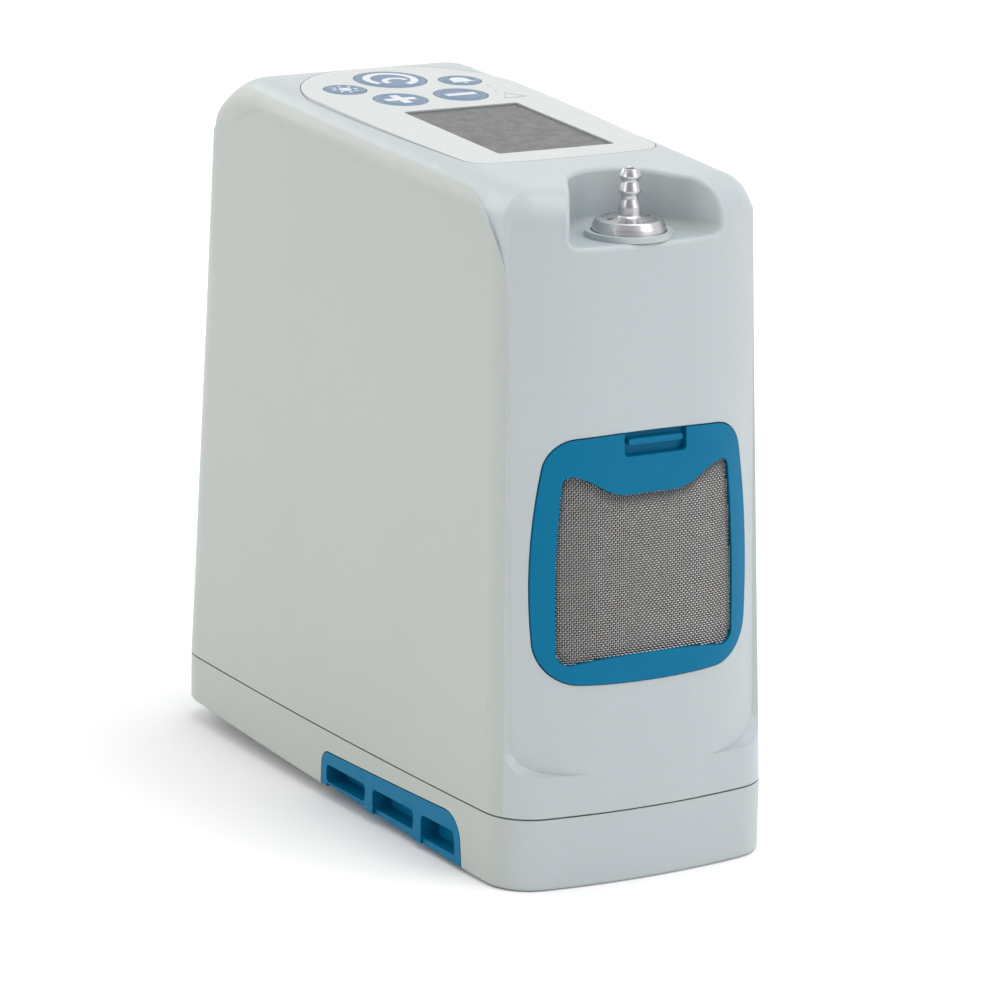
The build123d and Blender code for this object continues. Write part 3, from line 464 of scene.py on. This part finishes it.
def wire(mesh, points, across):
    """A square-section wire through points."""
    rings = []
    for point in points:
        rings.append([mesh.verts.new(point + (across * a + Vector((0, b, 0))) * WIRE_RADIUS * MM)
                      for a, b in ((1, 0), (0, -1), (-1, 0), (0, 1))])
    for a, b in zip(rings, rings[1:]):
        for k in range(4):
            mesh.faces.new((a[k], a[(k + 1) % 4], b[(k + 1) % 4], b[k]))
    mesh.faces.new(rings[0][::-1])
    mesh.faces.new(rings[-1])


def evened(points):
    """The points, with a depth that is out of line put level with those around."""
    result = []
    for k, point in enumerate(points):
        near = [p for p in points[max(0, k - 2):k + 3] if p is not None]
        depth = sorted(p.y for p in near)[len(near) // 2] if near else 0
        if point is not None and abs(point.y - depth) > STRAY * MM:
            point = Vector((point.x, depth, point.z))
        result.append(point)
    return result


def weave(mesh, lines, stops, spot, across, wave):
    """Wires along one direction, each passing over and under those of the other."""
    half_steps = range(2 * stops[0], 2 * stops[-1] + 1)
    for line in lines:
        run = []
        places = evened([spot(line * PITCH, half_step * PITCH / 2) for half_step in half_steps])
        for half_step, point in zip(half_steps, places):
            side = 0 if half_step % 2 else (1 if (line + half_step // 2) % 2 else -1)
            if point is not None:
                run.append(point + Vector((0, side * wave, 0)) * MM)
            if (point is None or half_step == half_steps[-1]) and run:
                if len(run) > 2:
                    wire(mesh, run, across)
                run = []


threads = bmesh.new()
weave(threads, columns, rows, cloth_point, Vector((1, 0, 0)), WAVE)
weave(threads, rows, columns, lambda z, x: cloth_point(x, z), Vector((0, 0, 1)), -WAVE)
piece("wire_cloth", threads, "wire", "filter", smooth=True)

# ---- nozzle flange and battery gauge details ------------------------------------------------------------
NOZZLE_Y = -77.7
BORE, SHANK, FLANGE = 1.3, 4.9, 9.4  # radii
SHANK_FOOT, SEAT, CONE_TOP = 146.0, 165.45, 170.16
CONE_INNER = 3.9                     # where the flange's upper cone meets the stem's foot
stem = bmesh.new()
# radius and height, from the shank up the flange, then over three barbs to the mouth
profile = [(BORE, SHANK_FOOT), (SHANK, SHANK_FOOT), (SHANK, SEAT), (FLANGE, SEAT), (FLANGE, 168.0),
           (FLANGE - 0.12, 168.35), (8.62, 169.66), (8.4, 169.82), (8.0, 169.88), (CONE_INNER, CONE_TOP),
           (3.4, 170.3), (3.0, 170.75), (2.9, 171.3), (2.9, 172.7), (2.85, 173.1),
           (2.3, 174.5), (2.2, 174.85), (2.18, 175.6), (2.3, 175.95), (2.78, 176.65), (2.86, 176.9),
           (2.83, 177.15), (2.3, 178.75), (2.16, 179.1), (2.12, 179.6), (2.2, 179.85), (2.72, 180.45),
           (2.8, 180.75), (2.76, 181.0), (2.1, 182.4), (1.98, 182.62), (1.8, 182.7), (1.45, 182.7),
           (BORE, 182.55)]
AROUND = 96
turns = [2 * pi * k / AROUND for k in range(AROUND)]
rings = [[stem.verts.new(Vector((r * cos(turn), NOZZLE_Y + r * sin(turn), z)) * MM) for turn in turns]
         for r, z in profile]
for lower, upper in zip(rings, rings[1:] + rings[:1]):
    for k in range(AROUND):
        stem.faces.new((lower[k], lower[(k + 1) % AROUND], upper[(k + 1) % AROUND], upper[k]))
nozzle = piece("turned_nozzle", stem, "nozzle", "housing", smooth=True)
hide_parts("outlet_nozzle")
# two spanner holes in the flange
HOLE_REACH, HOLE_RADIUS, HOLE_LENGTH, HOLE_LEVEL = 5.6, 0.75, 2.4, 170.2
holes = bmesh.new()
for hole_x in (-HOLE_REACH, HOLE_REACH):
    bmesh.ops.create_cone(holes, cap_ends=True, segments=32, radius1=HOLE_RADIUS * MM,
                          radius2=HOLE_RADIUS * MM, depth=HOLE_LENGTH * MM,
                          matrix=Matrix.Translation(Vector((hole_x, NOZZLE_Y, HOLE_LEVEL)) * MM))
drill_data = bpy.data.meshes.new("drill")
holes.to_mesh(drill_data)
holes.free()
drill = bpy.data.objects.new("drill", drill_data)
bpy.context.scene.collection.objects.link(drill)
cut = nozzle.modifiers.new("spanner_holes", "BOOLEAN")
cut.object = drill
cut.solver = "EXACT"
depsgraph = bpy.context.evaluated_depsgraph_get()
drilled = bpy.data.meshes.new_from_object(nozzle.evaluated_get(depsgraph))
nozzle.modifiers.remove(cut)
nozzle.data = drilled
bpy.data.objects.remove(drill)

CONE_FALL = 0.28 / 4.1               # the cone's drop for each millimetre outwards
TICKS, TICK_INNER, TICK_OUTER, TICK_WIDTH = 28, 6.4, 7.5, 0.42
TICK_SPAN = 62                       # degrees each way from the front and the back that carry ticks
ticks = bmesh.new()


def on_flange(x, y, height):
    """A point on the flange's upper cone, which falls away from the stem."""
    out = hypot(x, y) - CONE_INNER
    return Vector((x, y + NOZZLE_Y, CONE_TOP - out * CONE_FALL + height)) * MM


for step in range(TICKS):
    turn = step * 360 / TICKS
    if abs((turn % 180) - 90) > TICK_SPAN:
        continue
    c, s = cos(radians(turn)), sin(radians(turn))
    ribbon(ticks, [(TICK_INNER * c, TICK_INNER * s), (TICK_OUTER * c, TICK_OUTER * s)], TICK_WIDTH,
           -0.03, 0.02, spot=on_flange)
piece("flange_ticks", ticks, "engraved", "housing")

gauge_low, gauge_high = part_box("charge_gauge")
dots = bmesh.new()


def on_back(x, z, height):
    """A point on the battery's back, height out of its surface."""
    return Vector((x * MM, gauge_high[1] + height * MM, z * MM))


gauge_z = (gauge_low[2] + gauge_high[2]) / 2 / MM
GAUGE_LAMPS, LAMP_STEP, LAMP_RADIUS = 4, 3.4, 0.75
first_lamp = -LAMP_STEP * (GAUGE_LAMPS - 1) / 2
for place in range(GAUGE_LAMPS):
    slab(dots, arc((first_lamp + LAMP_STEP * place, gauge_z), LAMP_RADIUS, **FULL_TURN), -0.3, 0.02,
         spot=on_back)
piece("gauge_lamps", dots, "lamp", "battery")

# ---- floor, light and camera -----------------------------------------------------------------------------
floor_mesh = bmesh.new()
bmesh.ops.create_grid(floor_mesh, x_segments=1, y_segments=1, size=9.0)
floor_data = bpy.data.meshes.new("floor")
floor_mesh.to_mesh(floor_data)
floor_mesh.free()
floor = bpy.data.objects.new("floor", floor_data)
bpy.context.scene.collection.objects.link(floor)
floor_look = Tree("floor_white")
floor_look.put(floor_look.bsdf.inputs["Base Color"],
               floor_look.mix(floor_look.noise(400.0), (0.93, 0.93, 0.93, 1), (0.95, 0.95, 0.95, 1)))
floor_look.put(floor_look.bsdf.inputs["Roughness"], 0.9)
floor_look.put(floor_look.bsdf.inputs["Specular IOR Level"], 0.1)
floor_data.materials.append(floor_look.material)

world = bpy.data.worlds.new("studio")
world.use_nodes = True
sky = world.node_tree
sky.nodes["Background"].inputs["Color"].default_value = (1.0, 1.0, 1.0, 1.0)
# the surroundings are dimmer towards the front left corner, which gives the rounded edges their shading
direction = sky.nodes.new("ShaderNodeTexCoord")
toward = sky.nodes.new("ShaderNodeVectorMath")
toward.operation = "DOT_PRODUCT"
toward.inputs[1].default_value = (-0.62, -0.78, 0.0)
dim = sky.nodes.new("ShaderNodeMapRange")
for socket, value in (("From Min", 0.45), ("From Max", 0.95), ("To Min", 0.97), ("To Max", 0.30)):
    dim.inputs[socket].default_value = value
sky.links.new(direction.outputs["Generated"], toward.inputs[0])
sky.links.new(toward.outputs["Value"], dim.inputs["Value"])
sky.links.new(dim.outputs["Result"], sky.nodes["Background"].inputs["Strength"])
bpy.context.scene.world = world
bpy.context.scene.view_settings.view_transform = "Standard"


def softbox(name, place, target, size, power, colour=(1, 1, 1)):
    """A square area light aimed at a point."""
    light = bpy.data.lights.new(name, "AREA")
    light.shape = "RECTANGLE"
    light.size, light.size_y = size
    light.energy = power
    light.color = colour
    obj = bpy.data.objects.new(name, light)
    obj.location = place
    obj.rotation_euler = (Vector(target) - Vector(place)).to_track_quat("-Z", "Y").to_euler()
    bpy.context.scene.collection.objects.link(obj)


softbox("overhead", (0.30, -0.30, 1.55), (0, 0, 0.12), (1.2, 1.2), 9)
softbox("back_bank", (-0.6, 1.7, 1.0), (0, 0, 0.1), (1.4, 0.8), 7)
softbox("left_bank", (-1.7, -0.15, 0.45), (0, 0, 0.1), (0.5, 0.9), 4, (1.0, 1.0, 0.97))
softbox("front_bank", (0.9, -1.6, 0.95), (0, 0, 0.12), (1.1, 1.1), 7, (0.96, 0.98, 1.0))

camera_data = bpy.data.cameras.new("camera")
camera_data.lens = 187.5
camera_data.sensor_width = 36
camera = bpy.data.objects.new("camera", camera_data)
camera_place = Vector((-0.6868, -1.1705, 0.4270))
look = Vector((0.495420, 0.832306, -0.248646))
roll = radians(1.085)
camera.matrix_world = (Matrix.Translation(camera_place) @ look.to_track_quat("-Z", "Y").to_matrix().to_4x4()
                       @ Matrix.Rotation(roll, 4, "Z"))
bpy.context.scene.collection.objects.link(camera)
bpy.context.scene.camera = camera
